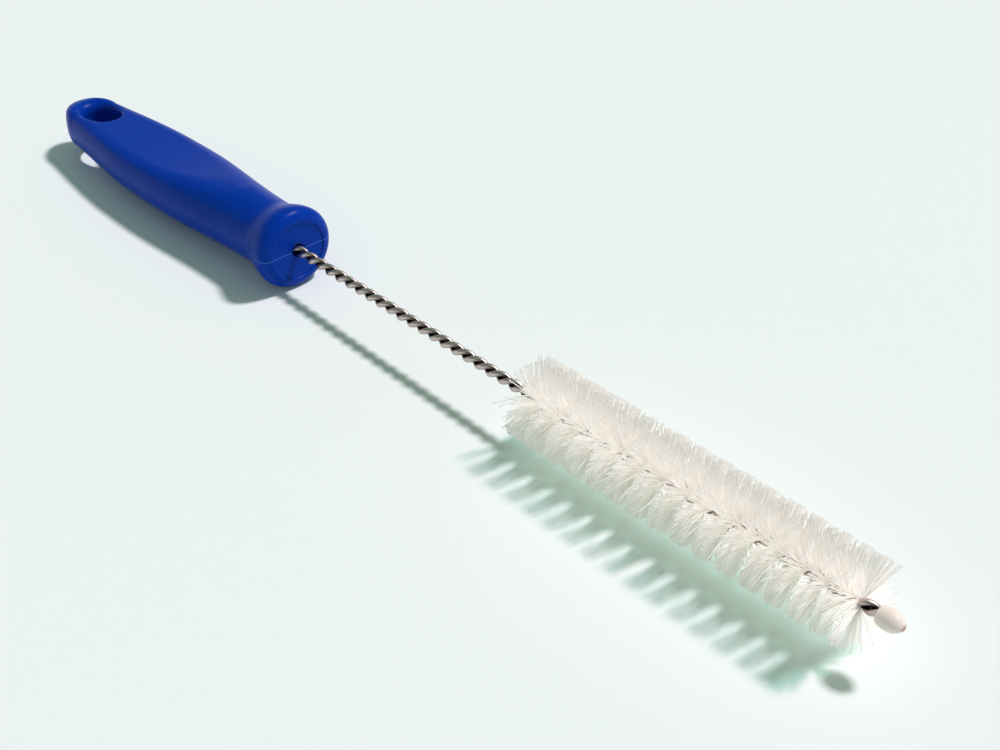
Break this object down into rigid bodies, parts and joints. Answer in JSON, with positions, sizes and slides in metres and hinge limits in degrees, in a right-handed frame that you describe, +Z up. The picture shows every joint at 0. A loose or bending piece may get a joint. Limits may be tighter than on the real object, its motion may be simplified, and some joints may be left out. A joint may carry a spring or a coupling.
{
  "type": "bottle brush",
  "caption": "Bottle brush with a scooped, moulded plastic handle with a hang hole, a twisted stainless wire stem, a round spiral of nylon bristles and a small bead on the tip.",
  "frame": {"origin": "on the table under the brush, at the middle of its whole length and width; the brush lies as it comes to rest, on its collar and the underside of its palm swell", "axes": "+Y along the brush from the handle's far end to the bead, +Z up out of the thumb scoop, +X across the handle"},
  "size_m": [0.032, 0.4002, 0.0324],
  "materials": {
    "handle_plastic": "deep blue moulded polypropylene with a soft gloss",
    "wire": "bright drawn stainless wire",
    "bristle": "fine off-white nylon filaments, slightly translucent",
    "bead_plastic": "cream moulded plastic, slightly glossy"
  },
  "bodies": {
    "root": {"handle": "handle_plastic", "wire_long": "wire", "wire_short": "wire", "bristles": "bristle", "tip_bead": "bead_plastic"}
  },
  "joints": []
}
